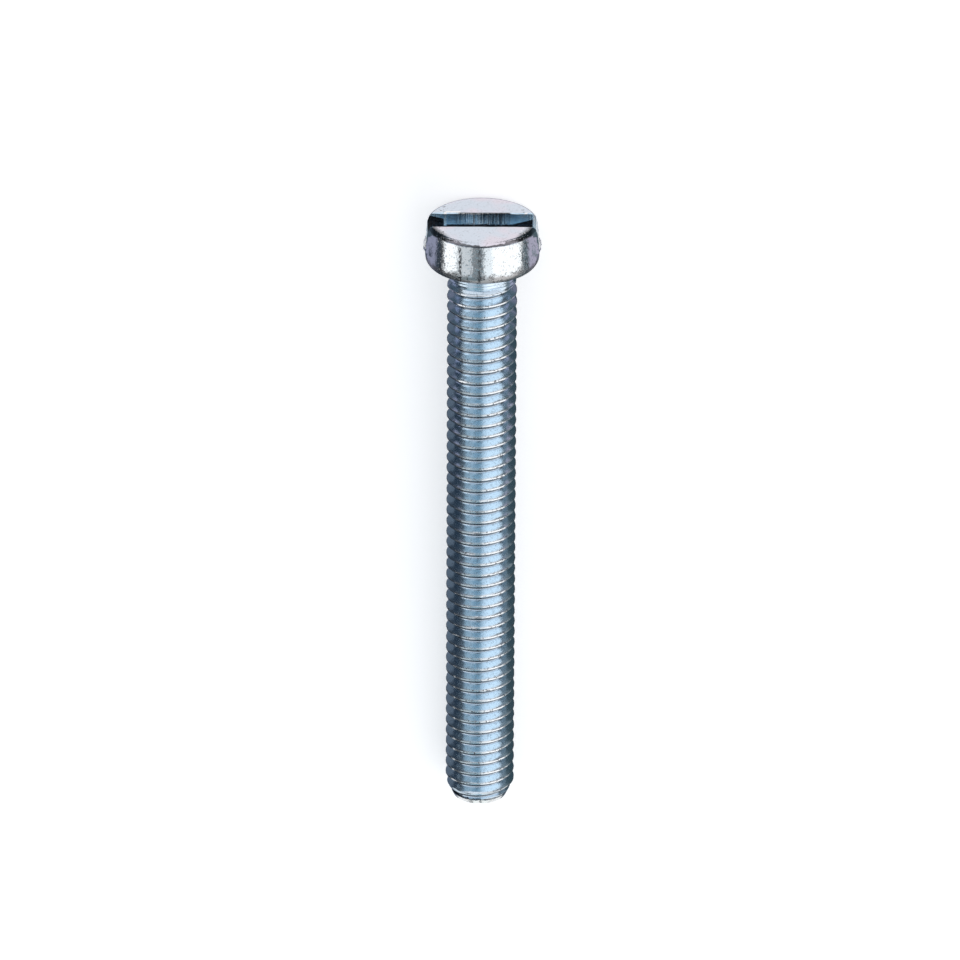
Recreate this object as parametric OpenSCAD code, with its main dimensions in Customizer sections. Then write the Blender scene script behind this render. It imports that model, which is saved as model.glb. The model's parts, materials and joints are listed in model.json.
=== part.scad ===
// Slotted machine screw with a low round head and a full-length coarse thread.
// It is drawn standing on its axis, with the bearing face of the head at height 0,
// the head above it and the shank below, and is then laid down as it comes to rest.

/* [Head] */
// Diameter of the head where it is widest, just above its lower rounded edge
head_d = 9.46; // [8.4:0.02:11]
// Height of the head above its bearing face
head_h = 3.9; // [3.2:0.1:5]
// Lean of the side wall towards the axis, in degrees
wall_lean = 2; // [0:0.5:5]
// Radius of the rounded edge round the top face
top_edge_r = 0.6; // [0.2:0.05:0.9]
// Radius of the rounded edge round the bearing face
seat_edge_r = 0.8; // [0.2:0.05:1]

/* [Slot] */
// Width of the driver slot between its two walls
slot_w = 2.6; // [1.2:0.1:2.8]
// Depth of the driver slot below the top face
slot_depth = 2.1; // [1.2:0.1:2.2]
// Size of the bevel along both mouth edges of the slot
slot_bevel = 0.08; // [0.05:0.01:0.15]
// How far the metal pushed out of the slot stands off the side wall
burr_out = 0.17; // [0.05:0.01:0.3]
// Width of the pushed-out metal on each side of the slot
burr_w = 0.55; // [0.2:0.05:0.8]

/* [Shank] */
// Length from the bearing face to the flat end of the point
shank_l = 50; // [16:1:80]
// Diameter of the plain neck between the head and the thread
neck_d = 5.56; // [5.3:0.02:5.7]
// Length of the plain neck
neck_l = 1.2; // [0.6:0.1:1.8]
// Radius of the fillet between the neck and the bearing face
neck_fillet_r = 0.35; // [0.3:0.05:0.45]

/* [Thread] */
// Diameter over the thread crests
thread_d = 5.82; // [5.6:0.02:6.4]
// Distance along the axis from one crest to the next
pitch = 1; // [0.75:0.05:1.25]
// Distance from the bearing face to the first full crest on the side that faces the ground
first_crest = 2.25; // [2:0.05:3]

/* [Point] */
// Diameter of the flat end face
end_d = 4.5; // [3.6:0.1:4.8]
// Length of the tapered stretch behind the end face
taper_l = 1.4; // [0.6:0.1:3]

/* [Hidden] */
$fn = 96;

head_r = head_d / 2;
crest_r = thread_d / 2;
neck_r = neck_d / 2;
end_r = end_d / 2;

// Overlap that joins neighbouring solids, and room that a cut leaves round them
overlap = 0.01;
room = 0.2;

// Upper end of the side wall, where the top edge starts to turn in
wall_top_r = head_r - (head_h - seat_edge_r - top_edge_r) * tan(wall_lean);
slot_floor_h = head_h - slot_depth;

// Points of a quarter circle about a centre, from one angle to another
arc_steps = 12;
function arc(centre, r, from, to) =
    [for (i = [0:arc_steps])
        let (a = from + (to - from) * i / arc_steps)
        centre + r * [cos(a), sin(a)]];

// Solid of the head before the slot is cut
module head_blank() {
    rotate_extrude()
        polygon(concat(
            [[0, 0]],
            arc([head_r - seat_edge_r, seat_edge_r], seat_edge_r, -90, 0),
            arc([wall_top_r - top_edge_r, head_h - top_edge_r], top_edge_r, 0, 90),
            [[0, head_h]]));
}

// Thin flaps of metal pushed out of the side wall at both ends of the slot,
// nothing at the top edge and proudest at the slot's floor
module slot_burrs() {
    foot_r = head_r + burr_out;
    intersection() {
        rotate_extrude()
            polygon([
                [wall_top_r - top_edge_r, slot_floor_h],
                [foot_r - burr_out, slot_floor_h - burr_out],
                [foot_r, slot_floor_h],
                [wall_top_r, head_h - top_edge_r],
                [wall_top_r - top_edge_r, head_h - top_edge_r]]);
        translate([-head_d, -slot_w / 2 - burr_w, 0])
            cube([2 * head_d, slot_w + 2 * burr_w, head_h]);
    }
}

// Straight slot across the head, with a small bevel along its mouth
module slot_cut() {
    half = slot_w / 2;
    mouth = half + slot_bevel;
    rotate([90, 0, 90])
        translate([0, 0, -head_d])
            linear_extrude(2 * head_d)
                polygon([
                    [-half, slot_floor_h],
                    [half, slot_floor_h],
                    [half, head_h - slot_bevel],
                    [mouth, head_h],
                    [mouth, head_h + room],
                    [-mouth, head_h + room],
                    [-mouth, head_h],
                    [-half, head_h - slot_bevel]]);
}

module head() {
    difference() {
        union() {
            head_blank();
            slot_burrs();
        }
        slot_cut();
    }
}

// Plain neck, blended into the bearing face
module neck() {
    rotate_extrude()
        polygon(concat(
            [[0, overlap], [neck_r + neck_fillet_r, overlap]],
            arc([neck_r + neck_fillet_r, -neck_fillet_r], neck_fillet_r, 90, 180),
            [[neck_r, -neck_l], [0, -neck_l]]));
}

// Section of the metric thread over one pitch: a crest an eighth of the pitch wide
// between two halves of a groove floor a sixth wide. The flanks stand 60 degrees
// apart, so their full V is pitch * sqrt(3) / 2 high, and the groove takes 17/24 of it.
crest_w = pitch / 8;
floor_w = pitch / 6;
root_r = crest_r - pitch * sqrt(3) / 2 * 17 / 24;
corner_z = [-(pitch - floor_w) / 2, -crest_w / 2, crest_w / 2, (pitch - floor_w) / 2];
corner_r = [root_r, crest_r, crest_r, root_r];
corners = len(corner_z);

// The section winds round the axis in flat steps, from below the point up to the neck.
// The middle of one step faces the ground, so that the shank lies on a flat.
steps = 24;
step_angle = 360 / steps;
ground_side = 90;
turns_below = ceil((shank_l - first_crest) / pitch) + 1;
turns = turns_below + ceil((first_crest - neck_l) / pitch) + 2;
wind_from = -first_crest - pitch * (turns_below + ground_side / 360);
rows = turns * corners + 1;

// Point on row q of the winding, k steps round the shank
function winding_point(k, q) =
    let (a = (k + 0.5) * step_angle, corner = q % corners, turn = floor(q / corners))
    [corner_r[corner] * cos(a),
     corner_r[corner] * sin(a),
     wind_from + pitch * (turn + a / 360) + corner_z[corner]];

// Number of that point in the list. A full turn ends one pitch higher up the first column.
function number(k, q) = k < steps ? k * rows + q : q + corners;

// Fan of triangles from a point to a closed rim
function fan(tip, rim) =
    [for (i = [0:len(rim) - 1]) [tip, rim[i], rim[(i + 1) % len(rim)]]];

module winding() {
    points = [for (k = [0:steps - 1]) for (q = [0:rows - 1]) winding_point(k, q)];
    bands = [for (k = [0:steps - 1]) for (q = [0:rows - 2])
        if (k < steps - 1 || q + corners < rows - 1)
            each [[number(k, q), number(k, q + 1), number(k + 1, q)],
                  [number(k + 1, q), number(k, q + 1), number(k + 1, q + 1)]]];
    low_rim = concat(
        [for (k = [0:steps - 1]) number(k, 0)],
        [for (q = [corners:-1:1]) number(0, q)]);
    high_rim = concat(
        [for (k = [steps - 1:-1:0]) number(k, rows - 1)],
        [for (q = [rows - 1 - corners:rows - 2]) number(steps - 1, q)]);
    ends = [[0, 0, wind_from + pitch / 2], [0, 0, wind_from + pitch * (turns - 0.5)]];
    polyhedron(
        points = concat(points, ends),
        faces = concat(bands, fan(len(points), low_rim), fan(len(points) + 1, high_rim)),
        convexity = 10);
}

// Threaded shank: the winding, trimmed by a 45 degree start under the neck and by the
// tapered point. The trim stands clear of the crests everywhere else.
module shank() {
    trim_r = crest_r + room;
    trim_l = taper_l * (trim_r - end_r) / (crest_r - end_r);
    intersection() {
        winding();
        rotate_extrude()
            polygon([
                [0, overlap - neck_l],
                [neck_r, overlap - neck_l],
                [neck_r, -neck_l],
                [trim_r, -neck_l - (trim_r - neck_r)],
                [trim_r, -shank_l + trim_l],
                [end_r, -shank_l],
                [0, -shank_l]]);
    }
}

module screw() {
    color([0.78, 0.83, 0.88]) {
        head();
        neck();
        shank();
    }
}

// The lying screw touches the ground at two places: the rounded lower edge of the head
// and the last full crest on the ground side. Its axis leans by the angle of the line
// that passes through the crest's lower edge and touches the circle of the head's edge.
flat_r = crest_r * cos(step_angle / 2);
crest_foot = (crest_w + pitch / steps) / 2;
crests_past_first = floor((shank_l - taper_l - first_crest - crest_foot) / pitch);
contact_l = first_crest + pitch * crests_past_first + crest_foot;
run = contact_l + seat_edge_r;
rise = head_r - seat_edge_r - flat_r;
lean = atan2(rise, run) + asin(seat_edge_r / norm([run, rise]));
axis_h = flat_r * cos(lean) + contact_l * sin(lean);

// The origin is on the ground under the middle of the lying screw's length
far_y = (head_h - top_edge_r) * cos(lean) + (wall_top_r - top_edge_r) * sin(lean) + top_edge_r;
near_y = -shank_l * cos(lean) - end_r * sin(lean);
mid_y = (far_y + near_y) / 2;

module lying_screw() {
    translate([0, -mid_y, axis_h])
        rotate([lean - 90, 0, 0])
            screw();
}

lying_screw();  // screw
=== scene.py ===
import json
import math
import bmesh
import bpy
from mathutils import Matrix, Vector, noise


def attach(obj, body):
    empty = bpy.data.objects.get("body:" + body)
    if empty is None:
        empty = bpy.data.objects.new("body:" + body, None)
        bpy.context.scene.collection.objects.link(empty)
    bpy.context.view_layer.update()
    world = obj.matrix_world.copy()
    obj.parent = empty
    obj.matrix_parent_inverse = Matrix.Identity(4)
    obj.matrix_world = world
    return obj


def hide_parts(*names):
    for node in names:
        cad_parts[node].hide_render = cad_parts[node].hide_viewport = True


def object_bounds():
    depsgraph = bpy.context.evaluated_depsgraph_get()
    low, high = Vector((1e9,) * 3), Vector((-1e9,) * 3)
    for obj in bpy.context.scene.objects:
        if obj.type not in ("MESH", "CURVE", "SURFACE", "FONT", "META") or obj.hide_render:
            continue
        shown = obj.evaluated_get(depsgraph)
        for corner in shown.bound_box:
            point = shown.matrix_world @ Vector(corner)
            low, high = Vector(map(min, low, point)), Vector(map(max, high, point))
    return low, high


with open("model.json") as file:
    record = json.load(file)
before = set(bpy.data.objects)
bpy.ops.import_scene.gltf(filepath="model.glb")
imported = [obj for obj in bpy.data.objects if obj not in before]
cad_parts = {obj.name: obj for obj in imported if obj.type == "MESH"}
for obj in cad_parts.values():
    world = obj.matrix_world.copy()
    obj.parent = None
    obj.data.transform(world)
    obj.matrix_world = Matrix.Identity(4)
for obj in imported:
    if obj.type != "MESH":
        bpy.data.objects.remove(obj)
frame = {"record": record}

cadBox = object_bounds()
mm = 0.001

# where the screw lies: the thread's mount gives its axis, the face under the head its zero height
mounts = {mount["name"]: mount for mount in frame["record"]["mounts"]}
axisUp = -Vector(mounts["thread"]["axis"]).normalized()
axisPoint = Vector(mounts["thread"]["pos_m"])
seatPoint = Vector(mounts["under_head"]["pos_m"])
seatCentre = axisPoint + axisUp * (seatPoint - axisPoint).dot(axisUp)
sideways = Vector((1, 0, 0))
backwards = axisUp.cross(sideways)
lay = Matrix.Translation(seatCentre) @ Matrix((sideways, backwards, axisUp)).transposed().to_4x4()
print("screw lies at", [round(c / mm, 2) for c in seatCentre], "mm")

# sizes in millimetres, heights counted from the face under the head
screw = {
    "headRadius": 4.73,
    "headHeight": 3.9,
    "wallLean": math.radians(2),
    "topEdge": 0.45,
    "seatEdge": 0.8,
    "slotWidth": 2.6,
    "slotDepth": 2.1,
    "slotBevel": 0.08,
    "burrOut": 0.17,
    "burrWidth": 0.55,
    "neckRadius": 2.78,
    "neckLength": 1.2,
    "neckFillet": 0.35,
    "crestRadius": 2.91,
    "rootRadius": 2.297,
    "pitch": 1.0,
    "length": 50.0,
    "endRadius": 2.25,
    "taper": 1.4,
}


# puts a shape drawn upright in millimetres where the screw lies
def placed(obj):
    obj.data.transform(lay @ Matrix.Scale(mm, 4))
    obj.data.update()
    return obj


def newObject(name, mesh):
    obj = bpy.data.objects.new(name, mesh)
    bpy.context.scene.collection.objects.link(obj)
    return obj


# the object with its modifiers applied, as a plain mesh
def baked(obj):
    bpy.context.view_layer.update()
    shown = obj.evaluated_get(bpy.context.evaluated_depsgraph_get())
    mesh = bpy.data.meshes.new_from_object(shown)
    obj.modifiers.clear()
    obj.data = mesh
    return obj


# threaded shank, a grid wound round the axis with its rows along the thread

shank = {
    "stepsPerTurn": 48,
    "rowsPerPitch": 16,
    "runOut": 0.9,
    "ridgeHeight": 0.02,
    "nickDepth": 0.05,
    "nickScale": 1.7,
    "seed": 7.0,
    "insideHead": 0.3,  # how far the shank reaches into the head
    "pointNick": {"turn": 0.75, "halfAngle": 0.07, "height": 0.45, "depth": 0.16},
    "ridgesPerPitch": 4,
    "weld": 0.0008,
}


# joins math nodes of one tree, so that a formula reads as one
class Maths:
    def __init__(self, tree):
        self.tree = tree

    def __call__(self, operation, *values):
        node = self.tree.nodes.new("ShaderNodeMath")
        node.operation = operation
        for socket, value in zip(node.inputs, values):
            if isinstance(value, bpy.types.NodeSocket):
                self.tree.links.new(value, socket)
            else:
                socket.default_value = value
        return node.outputs[0]


def threadTree():
    tree = bpy.data.node_groups.new("rolledThread", "GeometryNodeTree")
    sockets = ["pitch", "crestRadius", "rootRadius", "neckRadius", "neckLength", "neckFillet",
               "length", "endRadius", "taper", "runOut", "ridgeHeight", "nickDepth", "nickScale", "seed"]
    for name in sockets:
        tree.interface.new_socket(name, in_out="INPUT", socket_type="NodeSocketFloat")
    for name in ("stepsPerTurn", "rowsPerPitch"):
        tree.interface.new_socket(name, in_out="INPUT", socket_type="NodeSocketInt")
    tree.interface.new_socket("finish", in_out="INPUT", socket_type="NodeSocketMaterial")
    tree.interface.new_socket("thread", in_out="OUTPUT", socket_type="NodeSocketGeometry")
    given = tree.nodes.new("NodeGroupInput").outputs
    m = Maths(tree)
    link = tree.links.new

    # the grid: once round across, up the shank along, a turn more than is needed at each end
    threaded = m("ADD", given["length"], shank["insideHead"])
    pitches = m("ADD", m("CEIL", m("DIVIDE", threaded, given["pitch"])), 2.0)
    rows = m("MULTIPLY", pitches, given["rowsPerPitch"])
    grid = tree.nodes.new("GeometryNodeMeshGrid")
    link(m("ADD", given["stepsPerTurn"], 1.0), grid.inputs["Vertices X"])
    link(m("ADD", rows, 1.0), grid.inputs["Vertices Y"])
    flat = tree.nodes.new("GeometryNodeInputPosition")
    apart = tree.nodes.new("ShaderNodeSeparateXYZ")
    link(flat.outputs[0], apart.inputs[0])
    around = m("ADD", apart.outputs["X"], 0.5)
    along = m("MULTIPLY", m("ADD", apart.outputs["Y"], 0.5), pitches)
    bottom = m("ADD", m("MULTIPLY", given["length"], -1.0), m("MULTIPLY", given["pitch"], -1.0))
    rising = m("ADD", bottom, m("MULTIPLY", m("ADD", along, around), given["pitch"]))
    endHeight = m("MULTIPLY", given["length"], -1.0)
    height = m("MINIMUM", m("MAXIMUM", rising, endHeight), shank["insideHead"])

    # depth of the groove across one pitch, from 0 at the crest to 1 at the root
    across = m("ABSOLUTE", m("SUBTRACT", m("FRACT", m("ADD", along, 0.0005)), 0.5))
    profile = tree.nodes.new("ShaderNodeFloatCurve")
    curve = profile.mapping.curves[0]
    for spot, depth in ((0.125, 0.0), (0.625, 0.69), (0.75, 0.86), (0.875, 0.965)):
        curve.points.new(spot, depth)
    curve.points[0].location = (0.0, 0.0)
    curve.points[-1].location = (1.0, 1.0)
    for point in curve.points:
        point.handle_type = "VECTOR"
    profile.mapping.update()
    link(m("MULTIPLY", across, 2.0), profile.inputs["Value"])
    depth = m("MULTIPLY", m("SUBTRACT", given["crestRadius"], given["rootRadius"]), profile.outputs[0])
    grooved = m("SUBTRACT", given["crestRadius"], depth)

    # the tapered point cuts the thread down, and near the head it runs out into the neck
    coneSlope = m("DIVIDE", m("SUBTRACT", given["crestRadius"], given["endRadius"]), given["taper"])
    cone = m("ADD", given["endRadius"], m("MULTIPLY", m("SUBTRACT", height, endHeight), coneSlope))
    pointed = m("MINIMUM", grooved, cone)
    runStart = m("MULTIPLY", m("ADD", given["neckLength"], given["runOut"]), -1.0)
    fade = m("DIVIDE", m("SUBTRACT", height, runStart), given["runOut"])
    fade = m("MINIMUM", m("MAXIMUM", fade, 0.0), 1.0)
    neck = m("MULTIPLY", given["neckRadius"], fade)
    run = m("ADD", m("MULTIPLY", pointed, m("SUBTRACT", 1.0, fade)), neck)

    # fine ridges that the rolling left on the neck, and a nick in the point's rim
    wound = m("SUBTRACT", m("DIVIDE", m("SUBTRACT", height, bottom), given["pitch"]), around)
    ridgeTurns = m("MULTIPLY", wound, 2 * math.pi * shank["ridgesPerPitch"])
    ridges = m("MULTIPLY", m("COSINE", ridgeTurns), given["ridgeHeight"])
    run = m("ADD", run, m("MULTIPLY", ridges, fade))
    cut = shank["pointNick"]
    sideStep = m("MULTIPLY", m("ABSOLUTE", m("SUBTRACT", around, cut["turn"])), 2 * math.pi)
    nearEnd = m("LESS_THAN", height, m("ADD", endHeight, cut["height"]))
    inNick = m("MULTIPLY", m("LESS_THAN", sideStep, cut["halfAngle"]), nearEnd)
    run = m("SUBTRACT", run, m("MULTIPLY", inNick, cut["depth"]))

    # fillet between the neck and the head, which stops short of lying flat on the head's face
    inFillet = m("MAXIMUM", m("ADD", height, given["neckFillet"]), 0.0)
    drop = m("MINIMUM", inFillet, m("MULTIPLY", given["neckFillet"], 0.93))
    squares = m("SUBTRACT", m("POWER", given["neckFillet"], 2.0), m("POWER", drop, 2.0))
    flare = m("SUBTRACT", given["neckFillet"], m("SQRT", squares))
    radius = m("ADD", run, flare)

    # small nicks along the crests
    angle = m("MULTIPLY", around, 2 * math.pi)
    east = m("MULTIPLY", m("COSINE", angle), radius)
    north = m("MULTIPLY", m("SINE", angle), radius)
    smooth = tree.nodes.new("ShaderNodeCombineXYZ")
    for socket, value in zip(smooth.inputs, (east, north, height)):
        link(value, socket)
    grain = tree.nodes.new("ShaderNodeTexNoise")
    grain.noise_dimensions = "4D"
    link(smooth.outputs[0], grain.inputs["Vector"])
    link(given["seed"], grain.inputs["W"])
    link(given["nickScale"], grain.inputs["Scale"])
    grain.inputs["Detail"].default_value = 2.0
    struck = m("MAXIMUM", m("SUBTRACT", grain.outputs[0], 0.56), 0.0)
    onCrest = m("MAXIMUM", m("SUBTRACT", 1.0, m("MULTIPLY", profile.outputs[0], 4.0)), 0.0)
    nick = m("MULTIPLY", m("MULTIPLY", struck, 8.0), m("MULTIPLY", onCrest, given["nickDepth"]))
    nick = m("MULTIPLY", nick, m("SUBTRACT", 1.0, fade))
    worn = m("SUBTRACT", radius, nick)
    wornEast = m("MULTIPLY", m("COSINE", angle), worn)
    wornNorth = m("MULTIPLY", m("SINE", angle), worn)
    point = tree.nodes.new("ShaderNodeCombineXYZ")
    for socket, value in zip(point.inputs, (wornEast, wornNorth, height)):
        link(value, socket)
    wind = tree.nodes.new("GeometryNodeSetPosition")
    link(grid.outputs["Mesh"], wind.inputs["Geometry"])
    link(point.outputs[0], wind.inputs["Position"])
    weld = tree.nodes.new("GeometryNodeMergeByDistance")
    weld.inputs["Distance"].default_value = shank["weld"]
    link(wind.outputs[0], weld.inputs[0])
    real = tree.nodes.new("GeometryNodeRealizeInstances")
    link(weld.outputs[0], real.inputs[0])
    coat = tree.nodes.new("GeometryNodeSetMaterial")
    link(real.outputs[0], coat.inputs["Geometry"])
    link(given["finish"], coat.inputs["Material"])
    link(coat.outputs[0], tree.nodes.new("NodeGroupOutput").inputs[0])
    return tree


def countOpen(mesh, name):
    bm = bmesh.new()
    bm.from_mesh(mesh)
    print(name + ":", len(bm.faces), "faces,", sum(not edge.is_manifold for edge in bm.edges), "open edges")
    bm.free()


# fills the two open rings of the shank and turns its faces outwards
def closeEnds(mesh):
    bm = bmesh.new()
    bm.from_mesh(mesh)
    bmesh.ops.dissolve_degenerate(bm, dist=0.0005, edges=bm.edges)
    bmesh.ops.holes_fill(bm, edges=[edge for edge in bm.edges if edge.is_boundary], sides=0)
    bmesh.ops.recalc_face_normals(bm, faces=bm.faces)
    bm.to_mesh(mesh)
    bm.free()
    countOpen(mesh, "shank")


def makeShank(finish):
    tree = threadTree()
    obj = newObject("shank", bpy.data.meshes.new("shank"))
    wind = obj.modifiers.new("thread", "NODES")
    wind.node_group = tree
    sizes = {**screw, **shank, "finish": finish}
    for item in tree.interface.items_tree:
        if item.in_out == "INPUT":
            wind[item.identifier] = sizes[item.name]
    baked(obj)
    closeEnds(obj.data)
    return obj


# head: a turned blank, burrs at the ends of the slot, and the slot

head = {
    "facets": 160,
    "voxel": 0.08,
    "smoothing": 3,
    "unevenness": 0.04,
    "slotPieces": 60,
    "slotReach": 7,
}


def arc(centre, radius, start, end, steps=10):
    turns = [math.radians(start + (end - start) * i / steps) for i in range(steps + 1)]
    return [(centre[0] + radius * math.cos(a), centre[1] + radius * math.sin(a)) for a in turns]


# a closed solid of revolution from an outline that starts and ends on the axis
def turned(name, outline, facets):
    bm = bmesh.new()
    rings = []
    for radius, height in outline:
        if radius < 1e-6:
            rings.append([bm.verts.new((0, 0, height))])
            continue
        turns = [2 * math.pi * i / facets for i in range(facets)]
        rings.append([bm.verts.new((radius * math.cos(a), radius * math.sin(a), height)) for a in turns])
    for low, high in zip(rings, rings[1:]):
        for i in range(facets):
            j = (i + 1) % facets
            corners = [low[i % len(low)], low[j % len(low)], high[j % len(high)], high[i % len(high)]]
            bm.faces.new(list(dict.fromkeys(corners)))
    bmesh.ops.recalc_face_normals(bm, faces=bm.faces)
    mesh = bpy.data.meshes.new(name)
    bm.to_mesh(mesh)
    bm.free()
    return newObject(name, mesh)


# adds or cuts one solid with another, which is then removed
def combine(obj, other, operation):
    step = obj.modifiers.new(operation, "BOOLEAN")
    step.operation = operation
    step.solver = "EXACT"
    step.object = other
    baked(obj)
    bpy.data.objects.remove(other)
    return obj


def makeHead():
    s = screw
    wallTop = s["headRadius"] - (s["headHeight"] - s["seatEdge"] - s["topEdge"]) * math.tan(s["wallLean"])
    seatFlat = s["headRadius"] - s["seatEdge"]
    topFlat = wallTop - s["topEdge"]
    floor = s["headHeight"] - s["slotDepth"]
    outline = [(0, 0)]
    outline += arc((seatFlat, s["seatEdge"]), s["seatEdge"], -90, 0)
    outline += arc((topFlat, s["headHeight"] - s["topEdge"]), s["topEdge"], 0, 90)
    outline += [(0, s["headHeight"])]
    blank = turned("head", outline, head["facets"])
    skin = blank.modifiers.new("skin", "REMESH")
    skin.mode = "VOXEL"
    skin.voxel_size = head["voxel"]
    even = blank.modifiers.new("even", "SMOOTH")
    even.factor = 0.5
    even.iterations = head["smoothing"]
    baked(blank)
    pushBurrs(blank.data, floor)
    cutSlot(blank, floor)
    print("head:", len(blank.data.polygons), "faces")
    return blank


# 0 at low, 1 at high, smooth in between, where low may be the larger one
def ramp(value, low, high):
    t = min(max((value - low) / (high - low), 0), 1)
    return t * t * (3 - 2 * t)


# pushes the side wall out at both ends of the slot, most at the slot's floor
def pushBurrs(mesh, floor):
    half = screw["slotWidth"] / 2
    for vert in mesh.vertices:
        x, y, z = vert.co
        if abs(x) < 2.5 or z < floor - 0.5 or z > floor + 1.8:
            continue
        ragged = noise.noise(Vector((x * 2, y * 4, z * 4))) * 0.25
        near = ramp(abs(y) + ragged * 0.3, half + 2 * screw["burrWidth"], half + 0.1)
        up = ramp(z + ragged, floor - 0.38, floor - 0.22) * ramp(z, floor + 1.75, floor + 1.3)
        thick = 1 - 0.4 * ramp(z, floor, floor + 1.5)
        push = screw["burrOut"] * near * up * thick * (1 + ragged)
        out = Vector((x, y, 0)).normalized()
        vert.co += out * push
    mesh.update()


# cuts the slot with slightly uneven walls and a small bevel along its mouth
def cutSlot(blank, floor):
    half = screw["slotWidth"] / 2
    top = screw["headHeight"]
    bevel = screw["slotBevel"]
    rightSide = [(half, floor), (half, top - bevel), (half + bevel, top), (half + bevel, top + 2)]
    profile = rightSide + [(-y, z) for y, z in reversed(rightSide)]
    bm = bmesh.new()
    rings = []
    for i in range(head["slotPieces"] + 1):
        x = head["slotReach"] * (2 * i / head["slotPieces"] - 1)
        ring = []
        for y, z in profile:
            wander = noise.noise(Vector((x * 0.9, y * 3, z * 2))) * head["unevenness"]
            ring.append(bm.verts.new((x, y + wander, z + wander * (z < top))))
        rings.append(ring)
    for low, high in zip(rings, rings[1:]):
        for i in range(len(profile)):
            j = (i + 1) % len(profile)
            bm.faces.new((low[i], low[j], high[j], high[i]))
    bm.faces.new(rings[0])
    bm.faces.new(rings[-1])
    bmesh.ops.recalc_face_normals(bm, faces=bm.faces)
    mesh = bpy.data.meshes.new("slot")
    bm.to_mesh(mesh)
    bm.free()
    combine(blank, newObject("slot", mesh), "DIFFERENCE")


# finish

finish = {
    "wall": (0.80, 0.84, 0.87),
    "topLilac": (0.83, 0.78, 0.85),
    "topBlue": (0.74, 0.80, 0.88),
    "groove": (0.69, 0.81, 0.91),
    "crest": (0.78, 0.81, 0.84),
    "slot": (0.62, 0.80, 0.92),
    # a dark colour for specks and stuck dirt, and also for painted shade along the top's front edge, low on
    # the slot's rear wall, in the thread's grooves and in a ring at the point
    "dirtAndShade": (0.035, 0.035, 0.04),
    "lowEdgeGrey": (0.36, 0.35, 0.35),
    "paintedCornerShade": (0.15, 0.15, 0.155),
    "slotShade": (0.04, 0.07, 0.10),
    "brightLineAndGlint": (0.97, 0.97, 0.97),
    "slotEndHighlight": (0.9, 0.92, 0.93),
    "bright": (1.0, 1.0, 1.0),
    "headRoughness": 0.15,
    "slotRoughness": 0.18,
    "threadRoughness": 0.2,
}


def colour(c):
    return (*c, 1)


# wear shared by all the finishes: specks, patches, and a height for the bumps
def marksGroup():
    group = bpy.data.node_groups.new("plating marks", "ShaderNodeTree")
    group.interface.new_socket("Place", in_out="INPUT", socket_type="NodeSocketVector")
    for name in ("Specks", "Patches", "Height"):
        group.interface.new_socket(name, in_out="OUTPUT", socket_type="NodeSocketFloat")
    place = group.nodes.new("NodeGroupInput").outputs[0]
    out = group.nodes.new("NodeGroupOutput").inputs
    m = Maths(group)
    link = group.links.new

    def grain(scale, detail, rough=0.5):
        node = group.nodes.new("ShaderNodeTexNoise")
        link(place, node.inputs["Vector"])
        node.inputs["Scale"].default_value = scale
        node.inputs["Detail"].default_value = detail
        node.inputs["Roughness"].default_value = rough
        return node.outputs[0]

    patches = grain(0.28, 2)
    fine = grain(6.5, 2)
    coarse = grain(2.2, 3)
    # specks come in clusters, where both the fine and the coarse grain are high
    both = m("MULTIPLY", m("SUBTRACT", fine, 0.58), m("MAXIMUM", m("SUBTRACT", coarse, 0.42), 0.0))
    link(m("MINIMUM", m("MAXIMUM", m("MULTIPLY", both, 260.0), 0.0), 1.0), out["Specks"])
    link(patches, out["Patches"])
    link(m("ADD", m("MULTIPLY", coarse, 0.7), m("MULTIPLY", fine, 0.3)), out["Height"])
    return group


marks = marksGroup()


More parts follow.
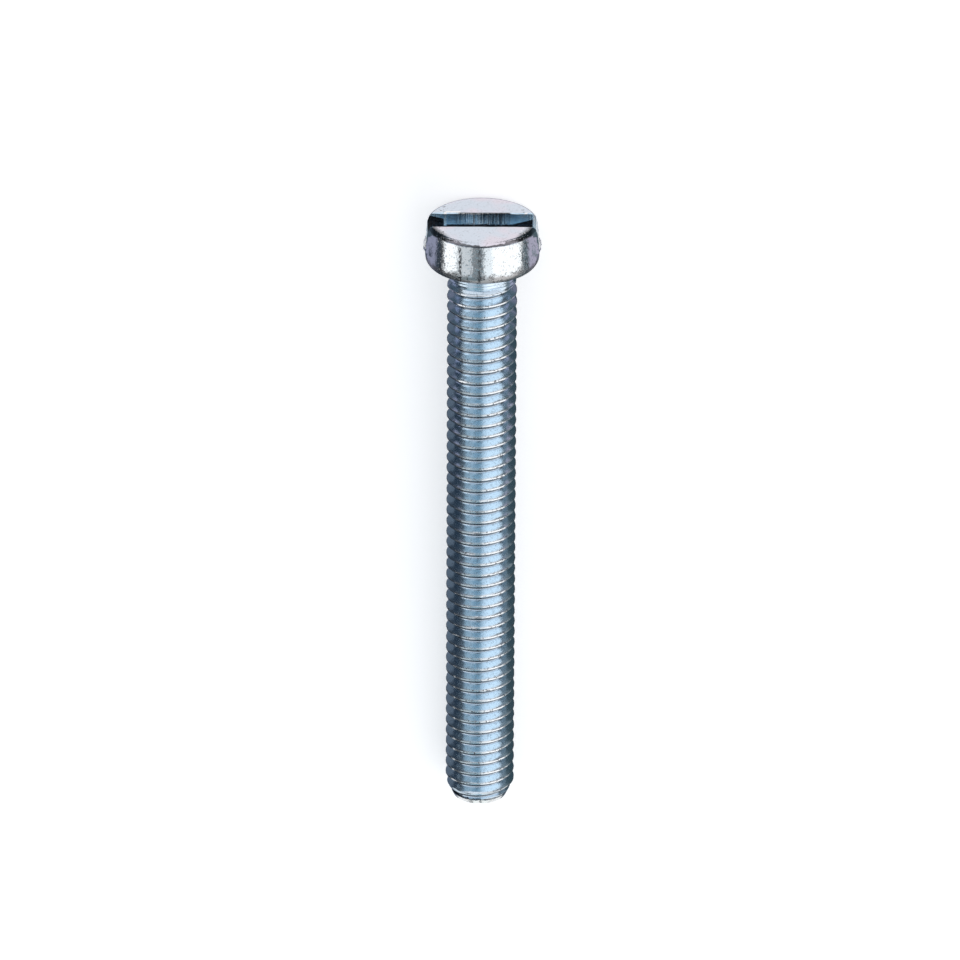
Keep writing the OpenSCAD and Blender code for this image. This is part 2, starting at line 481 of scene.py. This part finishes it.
# a plated finish under construction: its nodes, and places in the screw's own millimetres
class Finish:
    def __init__(self, name):
        self.mat = bpy.data.materials.new(name)
        self.mat.use_nodes = True
        self.tree = self.mat.node_tree
        self.m = Maths(self.tree)
        self.bsdf = self.tree.nodes["Principled BSDF"]
        self.bsdf.inputs["Metallic"].default_value = 1
        coords = self.tree.nodes.new("ShaderNodeTexCoord")
        frameOf = self.tree.nodes.new("ShaderNodeMapping")
        frameOf.vector_type = "TEXTURE"
        frameOf.inputs["Location"].default_value = lay.translation
        frameOf.inputs["Rotation"].default_value = lay.to_euler()
        frameOf.inputs["Scale"].default_value = (mm, mm, mm)
        self.link(coords.outputs["Object"], frameOf.inputs["Vector"])
        self.place = frameOf.outputs[0]
        apart = self.tree.nodes.new("ShaderNodeSeparateXYZ")
        self.link(self.place, apart.inputs[0])
        self.x, self.y, self.z = apart.outputs
        self.marks = self.tree.nodes.new("ShaderNodeGroup")
        self.marks.node_tree = marks
        self.link(self.place, self.marks.inputs[0])

    def link(self, a, b):
        self.tree.links.new(a, b)

    # 0 below low, 1 above high, smooth in between, where low may be the larger one
    def between(self, value, low, high):
        node = self.tree.nodes.new("ShaderNodeMapRange")
        node.interpolation_type = "SMOOTHSTEP"
        if low > high:
            low, high = high, low
            node.inputs["To Min"].default_value, node.inputs["To Max"].default_value = 1.0, 0.0
        self.link(value, node.inputs["Value"])
        node.inputs["From Min"].default_value = low
        node.inputs["From Max"].default_value = high
        return node.outputs[0]

    def mix(self, amount, a, b):
        node = self.tree.nodes.new("ShaderNodeMix")
        node.data_type = "RGBA"
        for socket, value in ((node.inputs["Factor"], amount), (node.inputs[6], a), (node.inputs[7], b)):
            if isinstance(value, bpy.types.NodeSocket):
                self.link(value, socket)
            elif isinstance(value, tuple):
                socket.default_value = colour(value)
            else:
                socket.default_value = value
        return node.outputs[2]

    # grain stretched along the screw's own axes
    def noise(self, stretch, scale, detail=2.0):
        node = self.tree.nodes.new("ShaderNodeMapping")
        node.inputs["Scale"].default_value = stretch
        self.link(self.place, node.inputs["Vector"])
        grain = self.tree.nodes.new("ShaderNodeTexNoise")
        grain.inputs["Scale"].default_value = scale
        grain.inputs["Detail"].default_value = detail
        self.link(node.outputs[0], grain.inputs["Vector"])
        return grain.outputs[0]

    def bump(self, height, strength, distance):
        node = self.tree.nodes.new("ShaderNodeBump")
        node.inputs["Strength"].default_value = strength
        node.inputs["Distance"].default_value = distance * mm
        self.link(height, node.inputs["Height"])
        self.link(node.outputs[0], self.bsdf.inputs["Normal"])

    def paint(self, base, roughness):
        self.link(base, self.bsdf.inputs["Base Color"])
        if isinstance(roughness, bpy.types.NodeSocket):
            self.link(roughness, self.bsdf.inputs["Roughness"])
        else:
            self.bsdf.inputs["Roughness"].default_value = roughness


# places on the head are in millimetres across it, behind its middle and above its lower face
headWear = {
    "glint": (-3.1, -1.82),  # bright stretch of the slot's rear edge
    "glintBehind": 1.4,
    "lowEdgeHeight": 0.9,
    "corners": (2.6, 3.4, 3.95, 4.3),  # the painted shade of the corners sets in and ends over these places
    "cornerRadius": (3.8, 4.3),
    # half width of the painted shade along the front edge
    "edgeShadeWidth": 0.11,
    "turning": (2.95, 3.95),  # where the wall turns away and the specks are thickest
    # dark broken streaks down the front: place across, half width, strength
    "streaks": [(-1.83, 0.2, 0.95), (-0.2, 0.22, 0.7), (-3.4, 0.28, 0.6), (3.65, 0.25, 0.7)],
    # stuck dirt on the lower edge: place across, height, half width, half height
    "spots": [(-0.2, 0.8, 0.5, 0.3), (0.85, 0.95, 0.3, 0.35),
              (-2.4, 0.75, 0.6, 0.35), (3.1, 1.05, 0.45, 0.4)],
}


def headFinish():
    f = Finish("platedHead")
    m = f.m
    side = m("ABSOLUTE", f.x)
    inFront = f.between(f.y, -0.2, -1.2)
    ragged = m("SUBTRACT", f.noise((1.0, 1.0, 1.0), 3.0), 0.5)
    top = screw["headHeight"]
    tint = f.mix(f.between(f.marks.outputs["Patches"], 0.40, 0.58), finish["topBlue"], finish["topLilac"])
    onTop = f.between(f.z, top - screw["topEdge"], top - 0.15)
    base = f.mix(onTop, finish["wall"], tint)
    # bright edge behind the slot, on the left
    start, end = headWear["glint"]
    glint = m("MULTIPLY", f.between(f.x, start - 0.1, start + 0.1), f.between(f.x, end + 0.07, end - 0.08))
    offEdge = m("ABSOLUTE", m("SUBTRACT", f.y, headWear["glintBehind"]))
    base = f.mix(m("MULTIPLY", glint, f.between(offEdge, 0.3, 0.2)), base, finish["bright"])
    # darker and duller along the lower edge
    lowEdgeLevel = headWear["lowEdgeHeight"]
    low = f.between(m("ADD", f.z, m("MULTIPLY", ragged, 0.8)), lowEdgeLevel + 0.25, lowEdgeLevel - 0.2)
    base = f.mix(m("MULTIPLY", low, 0.9), base, finish["lowEdgeGrey"])
    # painted shade: grey corners of the top, and a dark line along the front edge, wider at the corners
    radial = m("SQRT", m("ADD", m("POWER", f.x, 2.0), m("POWER", f.y, 2.0)))
    spread = m("ADD", radial, m("MULTIPLY", ragged, 0.35))
    setsIn, full, fades, ends = headWear["corners"]
    corner = m("MULTIPLY", f.between(side, setsIn, full), f.between(side, ends, fades))
    corner = m("MULTIPLY", corner, inFront)
    nearTop = f.between(f.z, top - 0.5, top - 0.3)
    corner = m("MULTIPLY", corner, m("MULTIPLY", f.between(spread, *headWear["cornerRadius"]), nearTop))
    base = f.mix(m("MULTIPLY", corner, 0.9), base, finish["paintedCornerShade"])
    line = m("ADD", top - screw["topEdge"] + 0.12, m("MULTIPLY", side, 0.04))
    offLine = m("ABSOLUTE", m("SUBTRACT", m("ADD", f.z, m("MULTIPLY", ragged, 0.25)), line))
    offLine = m("SUBTRACT", offLine, m("MULTIPLY", side, 0.02))
    edgeShade = m("MULTIPLY", f.between(offLine, headWear["edgeShadeWidth"], 0.03), inFront)
    edgeShade = m("MULTIPLY", edgeShade, m("SUBTRACT", 0.92, m("MULTIPLY", side, 0.08)))
    base = f.mix(edgeShade, base, finish["dirtAndShade"])
    # broken streaks down the wall
    onWall = m("MULTIPLY", f.between(f.z, top - screw["topEdge"], top - screw["topEdge"] - 0.2), inFront)
    drawn = f.noise((1.0, 1.0, 0.4), 8.0)
    crumbs = f.noise((1.0, 1.0, 1.0), 19.0)
    wandering = m("ADD", f.x, m("MULTIPLY", ragged, 0.15))
    for place, width, strength in headWear["streaks"]:
        near = f.between(m("ABSOLUTE", m("SUBTRACT", wandering, place)), width, width * 0.3)
        streak = m("MULTIPLY", m("MULTIPLY", near, onWall), f.between(drawn, 0.42, 0.56))
        base = f.mix(m("MULTIPLY", streak, strength), base, finish["dirtAndShade"])
    # specks, thickest where the wall turns away and along the lower edge, and some stuck dirt
    start, end = headWear["turning"]
    turning = m("MULTIPLY", f.between(side, start, start + 0.3), f.between(side, end, end - 0.3))
    specky = m("ADD", m("MULTIPLY", m("MAXIMUM", m("MULTIPLY", low, 0.7), turning), 0.9), 0.3)
    specky = m("SUBTRACT", specky, m("MULTIPLY", onTop, 0.16))
    specks = m("MULTIPLY", f.marks.outputs["Specks"], specky)
    for across, height, wide, tall in headWear["spots"]:
        offX = m("POWER", m("DIVIDE", m("SUBTRACT", f.x, across), wide), 2.0)
        offZ = m("POWER", m("DIVIDE", m("SUBTRACT", f.z, height), tall), 2.0)
        spot = f.between(m("ADD", m("ADD", offX, offZ), m("MULTIPLY", ragged, 3.0)), 1.0, 0.5)
        crumbled = m("MULTIPLY", m("MULTIPLY", spot, inFront), f.between(crumbs, 0.44, 0.62))
        specks = m("MAXIMUM", specks, crumbled)
    base = f.mix(m("MINIMUM", specks, 0.95), base, finish["dirtAndShade"])
    flecks = f.between(f.noise((1.0, 1.0, 1.0), 7.0), 0.58, 0.64)
    shiny = m("MULTIPLY", m("MULTIPLY", turning, inFront), flecks)
    base = f.mix(m("MULTIPLY", shiny, 0.8), base, finish["bright"])
    dull = m("ADD", m("MULTIPLY", specks, 0.4), m("MULTIPLY", low, 0.15))
    f.paint(base, m("ADD", finish["headRoughness"], dull))
    f.bump(f.marks.outputs["Height"], 0.8, 0.035)
    return f.mat


# places in the slot are in millimetres across the head and below its top
slotWear = {
    "shadeBelow": 1.03,  # depth at which the rear wall's painted shade sets in, in the middle
    "rightRise": (2.4, 0.26),  # from this place on the dark rises by this slope
    "leftRise": (3.1, 0.22),
    "leftStep": 0.5,
    "shadeEnds": (-4.55, 4.17),
    "raggedMiddle": 0.15,
    "raggedHalf": 2.15,
    "brightLineAt": -3.08,
    "glintAt": 3.65,
    "endHighlightFrom": 4.15,
}


def slotFinish():
    f = Finish("platedSlot")
    m = f.m
    depth = m("SUBTRACT", screw["headHeight"], f.z)
    onRearWall = f.between(f.y, 1.0, 1.2)
    streaks = f.noise((1.0, 0.05, 0.02), 9.0, 3.0)
    fine = f.noise((1.0, 0.05, 0.015), 16.0, 1.0)
    middle = f.between(m("ABSOLUTE", f.x), 2.6, 1.2)
    ends = f.between(m("ABSOLUTE", f.x), slotWear["endHighlightFrom"], slotWear["endHighlightFrom"] + 0.15)
    # streaks along the saw marks, the lighter ones as painted highlights and the darker ones as painted shade
    light = m("MULTIPLY", f.between(fine, 0.52, 0.58), m("ADD", m("MULTIPLY", middle, 0.75), 0.25))
    shade = m("MULTIPLY", f.between(streaks, 0.50, 0.42), m("ADD", m("MULTIPLY", middle, 0.85), 0.1))
    base = f.mix(shade, finish["slot"], finish["slotShade"])
    base = f.mix(light, base, finish["bright"])
    # painted shade near the floor, higher up towards both ends
    start, slope = slotWear["rightRise"]
    rightRise = m("MULTIPLY", m("MAXIMUM", m("SUBTRACT", f.x, start), 0.0), slope)
    start, slope = slotWear["leftRise"]
    leftRise = m("MULTIPLY", m("MAXIMUM", m("SUBTRACT", m("MULTIPLY", f.x, -1.0), start), 0.0), slope)
    step = m("MULTIPLY", f.between(f.x, 0.05 - start, -0.05 - start), slotWear["leftStep"])
    leftRise = m("ADD", leftRise, step)
    arch = m("SUBTRACT", m("SUBTRACT", slotWear["shadeBelow"], rightRise), leftRise)
    uneven = m("MULTIPLY", m("SUBTRACT", streaks, 0.5), m("ADD", m("MULTIPLY", middle, 0.7), 0.1))
    start, end = slotWear["shadeEnds"]
    within = m("MULTIPLY", f.between(f.x, start - 0.05, start + 0.05), f.between(f.x, end + 0.08, end - 0.07))
    low = f.between(m("SUBTRACT", m("ADD", depth, uneven), arch), -0.04, 0.06)
    dark = m("MULTIPLY", m("MULTIPLY", onRearWall, within), low)
    # a ragged dark edge in the middle of the mouth
    aside = m("ABSOLUTE", m("SUBTRACT", f.x, slotWear["raggedMiddle"]))
    half = slotWear["raggedHalf"]
    raggedEdge = m("MULTIPLY", f.between(aside, half + 0.15, half - 0.15), onRearWall)
    frayed = m("ADD", depth, m("MULTIPLY", m("SUBTRACT", fine, 0.5), 0.6))
    raggedEdge = m("MULTIPLY", raggedEdge, f.between(frayed, 0.16, 0.08))
    base = f.mix(m("MAXIMUM", dark, m("MULTIPLY", raggedEdge, 0.9)), base, finish["dirtAndShade"])
    # a bright line down the wall and a painted highlight across it, and a painted highlight where the slot
    # runs out
    offLine = m("ABSOLUTE", m("SUBTRACT", f.x, slotWear["brightLineAt"]))
    line = m("MULTIPLY", f.between(offLine, 0.15, 0.07), f.between(depth, 1.25, 1.1))
    offGlint = m("ABSOLUTE", m("SUBTRACT", m("ADD", f.x, depth), slotWear["glintAt"]))
    glint = m("MULTIPLY", f.between(offGlint, 0.16, 0.06), f.between(depth, 0.45, 0.3))
    base = f.mix(m("MULTIPLY", onRearWall, m("MAXIMUM", line, glint)), base, finish["brightLineAndGlint"])
    # painted highlight where the slot runs out, kept off the painted shade
    base = f.mix(m("MULTIPLY", ends, f.between(dark, 0.5, 0.2)), base, finish["slotEndHighlight"])
    f.paint(base, finish["slotRoughness"])
    f.bump(streaks, 0.6, 0.04)
    return f.mat


# places on the thread are in millimetres, and shares of the pitch from the bottom of the groove
threadWear = {
    "crestDepth": (0.12, 0.03),
    "grooveShade": (-0.06, 0.16),
    "grooveShadeStrength": 0.75,
    "rimHighlightHeight": 0.37,  # painted highlight on the rim of the point
    "shadeRingHeight": 0.47,  # ring of painted shade above it
}


def threadFinish():
    f = Finish("platedThread")
    m = f.m
    radius = m("SQRT", m("ADD", m("POWER", f.x, 2.0), m("POWER", f.y, 2.0)))
    deep, shallow = threadWear["crestDepth"]
    onCrest = f.between(radius, screw["crestRadius"] - deep, screw["crestRadius"] - shallow)
    base = f.mix(onCrest, finish["groove"], finish["crest"])
    # painted shade at the bottom of the groove, on the side that faces the point
    around = m("DIVIDE", m("ARCTAN2", f.y, f.x), 2 * math.pi)
    start, end = threadWear["grooveShade"]
    phase = m("FRACT", m("SUBTRACT", m("SUBTRACT", m("DIVIDE", f.z, screw["pitch"]), around), start))
    grooveShade = m("MULTIPLY", f.between(phase, 0.0, 0.03), f.between(phase, end - start, end - start - 0.05))
    grooveShade = m("MULTIPLY", grooveShade, f.between(radius, screw["neckRadius"] - 0.1, screw["neckRadius"] - 0.25))
    base = f.mix(m("MULTIPLY", grooveShade, threadWear["grooveShadeStrength"]), base, finish["dirtAndShade"])
    specks = m("MULTIPLY", f.marks.outputs["Specks"], m("ADD", m("MULTIPLY", onCrest, 0.5), 0.25))
    base = f.mix(m("MINIMUM", specks, 0.8), base, finish["dirtAndShade"])
    # the point: a painted highlight on its rim below a ring of painted shade
    above = m("ADD", f.z, screw["length"])
    above = m("ADD", above, m("MULTIPLY", m("SUBTRACT", f.noise((1.0, 1.0, 1.0), 2.5), 0.5), 0.3))
    rim = threadWear["rimHighlightHeight"]
    base = f.mix(f.between(above, rim + 0.05, rim - 0.05), base, finish["bright"])
    ring = f.between(m("ABSOLUTE", m("SUBTRACT", above, threadWear["shadeRingHeight"])), 0.10, 0.05)
    base = f.mix(m("MULTIPLY", ring, 0.9), base, finish["dirtAndShade"])
    f.paint(base, m("ADD", finish["threadRoughness"], m("MULTIPLY", specks, 0.3)))
    f.bump(f.marks.outputs["Height"], 0.35, 0.02)
    return f.mat


# gives every face the finish of the surface it lies on
def dress(mesh):
    for mat in (headFinish(), slotFinish(), threadFinish()):
        mesh.materials.append(mat)
    wall = screw["slotWidth"] / 2 + 0.09
    for face in mesh.polygons:
        face.use_smooth = True
        c = face.center
        if c.z < 0:
            face.material_index = 2 if c.xy.length < 3.2 and c.z < -0.02 else 0
        elif abs(c.y) < wall and c.z < screw["headHeight"] - 0.01 and abs(face.normal.x) < 0.7:
            face.material_index = 1
        else:
            face.material_index = 0
    mesh.set_sharp_from_angle(angle=math.radians(38))


body = makeHead()
shaft = makeShank(bpy.data.materials.new("bare"))
combine(body, shaft, "UNION")
countOpen(body.data, "joined screw")
body.data.materials.clear()
dress(body.data)
placed(body)
body.name = "machineScrew"
print("screw:", sum(len(face.vertices) - 2 for face in body.data.polygons), "triangles")

# studio

studio = {
    "cameraRise": 27.0,
    "cameraDistance": 697.0,
    "pixelsPerMm": 11.93,
    "roll": 0.286,
    "aimHeight": -20.2,
    "aimAside": -0.096,
    "floorSize": 1.4,
    "floorColour": (0.8, 0.8, 0.8),
    "floorGlow": 0.5,
    "boxDistance": 0.6,
    "closeDistance": 0.06,
    "closeHeight": 5,
    "cardDepth": 0.1,
    "worldLight": 0.1,
    "worldSeen": 1.0,
}
pictureWidth = 960


def makeCamera():
    rise = math.radians(studio["cameraRise"])
    outwards = -backwards * math.cos(rise) + axisUp * math.sin(rise)
    aim = seatCentre + axisUp * studio["aimHeight"] * mm + sideways * studio["aimAside"] * mm
    data = bpy.data.cameras.new("camera")
    data.sensor_width = 36
    data.lens = studio["pixelsPerMm"] * studio["cameraDistance"] * data.sensor_width / pictureWidth
    data.clip_start = 0.05
    data.clip_end = 20
    obj = newObject("camera", data)
    obj.location = aim + outwards * studio["cameraDistance"] * mm
    upwards = axisUp - outwards * axisUp.dot(outwards)
    upwards.normalize()
    right = upwards.cross(outwards)
    turn = Matrix((right, upwards, outwards)).transposed()  # the picture's right, up and out
    turn = turn @ Matrix.Rotation(math.radians(studio["roll"]), 3, "Z")
    obj.rotation_euler = turn.to_euler()
    bpy.context.scene.camera = obj


def makeFloor():
    half = studio["floorSize"] / 2
    mesh = bpy.data.meshes.new("floor")
    corners = [(-half, -half, 0), (half, -half, 0), (half, half, 0), (-half, half, 0)]
    mesh.from_pydata(corners, [], [(0, 1, 2, 3)])
    floor = newObject("floor", mesh)
    floor.location.z = cadBox[0].z
    mat = bpy.data.materials.new("paleFloor")
    mat.use_nodes = True
    nodes, links = mat.node_tree.nodes, mat.node_tree.links
    bsdf = nodes["Principled BSDF"]
    bsdf.inputs["Base Color"].default_value = colour(studio["floorColour"])
    bsdf.inputs["Roughness"].default_value = 0.9
    bsdf.inputs["Specular IOR Level"].default_value = 0.0
    glow = nodes.new("ShaderNodeEmission")
    path = nodes.new("ShaderNodeLightPath")
    m = Maths(mat.node_tree)
    links.new(m("MULTIPLY", path.outputs["Is Camera Ray"], studio["floorGlow"]), glow.inputs["Strength"])
    both = nodes.new("ShaderNodeAddShader")
    links.new(bsdf.outputs[0], both.inputs[0])
    links.new(glow.outputs[0], both.inputs[1])
    links.new(both.outputs[0], nodes["Material Output"].inputs["Surface"])
    mesh.materials.append(mat)
    floor.visible_glossy = False


# softboxes by direction from the screw: turn is round the screw's axis from straight up to the right,
# tilt is towards the point, and the sizes are in degrees as seen from the screw
softboxes = [
    {"name": "rightInner", "turn": (3, 20), "tilt": (7, 66), "glow": (1.0, 1.05, 1.08)},
    {"name": "right", "turn": (20, 86), "tilt": (7, 66), "glow": (1.3, 1.3, 1.3)},
    {"name": "middle", "turn": (-20, 3), "tilt": (7, 25.3), "glow": (0.2, 0.21, 0.22)},
    {"name": "left", "turn": (-68, -50), "tilt": (7, 25.3), "glow": (0.48, 0.56, 0.6)},
    {"name": "leftFill", "turn": (-48, -20), "tilt": (7, 25.3), "glow": (0.72, 0.74, 0.76)},
    {"name": "leftLowOuter", "turn": (-68, -34), "tilt": (25.3, 66), "glow": (0.52, 0.62, 0.66)},
    {"name": "leftLowInner", "turn": (-34, 3), "tilt": (25.3, 66), "glow": (0.27, 0.42, 0.5)},
    {"name": "headwardsLeft", "turn": (-76, -30), "tilt": (-12, 7), "glow": (0.45, 0.5, 0.6)},
    {"name": "headwardsMiddle", "turn": (-30, 8), "tilt": (-12, 7), "glow": (0.38, 0.45, 0.52)},
    {"name": "headwardsRight", "turn": (8, 76), "tilt": (-12, 7), "glow": (0.75, 0.78, 0.85)},
    {"name": "overHead", "turn": (-70, 70), "tilt": (-88, -12), "glow": (0.92, 0.92, 0.95)},
    {"name": "pointwards", "turn": (-68, 86), "tilt": (66, 88), "glow": (0.9, 0.95, 0.95)},
    # dark flags that end the lit part on both sides, and one between two of the boxes
    {"name": "flagLeft", "turn": (-96, -68), "tilt": (7, 88), "glow": (0.08, 0.09, 0.1)},
    {"name": "flagLeftHigh", "turn": (-96, -76), "tilt": (-88, 7), "glow": (0.08, 0.09, 0.1)},
    {"name": "flagRight", "turn": (86, 96), "tilt": (7, 88), "glow": (0.08, 0.09, 0.1)},
    {"name": "flagRightHigh", "turn": (76, 96), "tilt": (-88, 7), "glow": (0.08, 0.09, 0.1)},
    {"name": "flagBetween", "turn": (-50, -48), "tilt": (7, 25.3), "glow": (0.1, 0.1, 0.1)},
    # a small box close to the head, which only the head's wall shows
    {"name": "besideHead", "turn": (-82, -50), "tilt": (6, 27), "glow": (1.3, 1.3, 1.3), "near": 25},
]

# flat cards that only show in reflections: corners in millimetres, and how bright they look
cards = [
    {"name": "under", "x": (-3.6, 3.6), "y": (-32, 27.2), "glow": (0.22, 0.24, 0.31)},
    {"name": "leftNear", "x": (-6.5, -3.6), "y": (-32, 21), "glow": (0.12, 0.15, 0.19)},
    {"name": "leftClose", "x": (-6.5, -3.6), "y": (21, 27.2), "glow": (0.17, 0.18, 0.24)},
    {"name": "left", "x": (-600, -6.5), "y": (-32, 15), "glow": (0.03, 0.045, 0.065)},
    {"name": "leftGap", "x": (-8, -6.5), "y": (15, 22), "glow": (0.06, 0.08, 0.11)},
    {"name": "leftOfHead", "x": (-600, -8), "y": (15, 22), "glow": (0.30, 0.31, 0.42)},
    {"name": "leftBehind", "x": (-600, -6.5), "y": (22, 60), "glow": (0.07, 0.10, 0.13)},
    {"name": "right", "x": (3.6, 9), "y": (-32, 21), "glow": (0.045, 0.075, 0.09)},
    {"name": "rightClose", "x": (3.6, 9), "y": (21, 22), "glow": (0.20, 0.20, 0.26)},
    {"name": "rightBeside", "x": (3.6, 6.5), "y": (22, 27.2), "glow": (0.20, 0.20, 0.26)},
    {"name": "rightFar", "x": (9, 600), "y": (-32, 15), "glow": (0.20, 0.25, 0.28)},
    {"name": "rightOfHead", "x": (9, 600), "y": (15, 22), "glow": (0.46, 0.43, 0.54)},
    {"name": "rightBehind", "x": (6.5, 600), "y": (22, 60), "glow": (0.09, 0.13, 0.15)},
    {"name": "beforePoint", "x": (-60, 60), "y": (-200, -32), "glow": (0.85, 0.87, 0.88)},
    {"name": "behindHead", "x": (-6.5, 6.5), "y": (27.2, 600), "glow": (0.88, 0.88, 0.9)},
]


def direction(turn, tilt):
    t, d = math.radians(turn), math.radians(tilt)
    return Vector((math.sin(t) * math.cos(d), -math.sin(d), math.cos(t) * math.cos(d)))


def glowing(name, shade):
    mat = bpy.data.materials.new(name)
    mat.use_nodes = True
    nodes = mat.node_tree.nodes
    nodes.remove(nodes["Principled BSDF"])
    glow = nodes.new("ShaderNodeEmission")
    glow.inputs["Color"].default_value = colour(shade)
    mat.node_tree.links.new(glow.outputs[0], nodes["Material Output"].inputs["Surface"])
    return mat


# a curved panel of glowing cloth, part of a ball round the screw or close round its head
def makeSoftbox(box, steps=8):
    close = "near" in box
    distance = studio["closeDistance"] if close else studio["boxDistance"]
    centre = Vector((0, box["near"], studio["closeHeight"])) * mm if close else Vector((0, 0, 0))
    bm = bmesh.new()
    rows = []
    for i in range(steps + 1):
        turn = box["turn"][0] + (box["turn"][1] - box["turn"][0]) * i / steps
        row = []
        for j in range(steps + 1):
            tilt = box["tilt"][0] + (box["tilt"][1] - box["tilt"][0]) * j / steps
            row.append(bm.verts.new(centre + direction(turn, tilt) * distance))
        rows.append(row)
    for i in range(steps):
        for j in range(steps):
            bm.faces.new((rows[i][j], rows[i + 1][j], rows[i + 1][j + 1], rows[i][j + 1]))
    mesh = bpy.data.meshes.new(box["name"])
    bm.to_mesh(mesh)
    bm.free()
    obj = newObject("softbox_" + box["name"], mesh)
    mesh.materials.append(glowing("softbox_" + box["name"], box["glow"]))
    obj.visible_camera = False
    obj.visible_diffuse = not close
    obj.visible_shadow = not close


def makeCard(card):
    (left, right), (near, far) = card["x"], card["y"]
    corners = [(left, near), (right, near), (right, far), (left, far)]
    mesh = bpy.data.meshes.new(card["name"])
    mesh.from_pydata([Vector((x, y, -studio["cardDepth"])) * mm for x, y in corners], [], [(0, 1, 2, 3)])
    obj = newObject("card_" + card["name"], mesh)
    mesh.materials.append(glowing("card_" + card["name"], card["glow"]))
    obj.visible_camera = False
    obj.visible_diffuse = False
    obj.visible_shadow = False


def makeWorld():
    world = bpy.data.worlds.new("studio")
    bpy.context.scene.world = world
    world.use_nodes = True
    nodes, links = world.node_tree.nodes, world.node_tree.links
    m = Maths(world.node_tree)
    path = nodes.new("ShaderNodeLightPath")
    seen = m("MAXIMUM", path.outputs["Is Camera Ray"], path.outputs["Is Glossy Ray"])
    seen = m("MAXIMUM", seen, path.outputs["Is Transmission Ray"])
    light = studio["worldLight"]
    strength = m("ADD", m("MULTIPLY", seen, studio["worldSeen"] - light), light)
    links.new(strength, nodes["Background"].inputs["Strength"])
    nodes["Background"].inputs["Color"].default_value = (1, 1, 1, 1)


makeCamera()
makeFloor()
for box in softboxes:
    makeSoftbox(box)
for card in cards:
    makeCard(card)
makeWorld()
bpy.context.scene.view_settings.view_transform = "Standard"

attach(body, "root")
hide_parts("screw")
print("CAD box", [round(c / mm, 2) for corner in cadBox for c in corner])
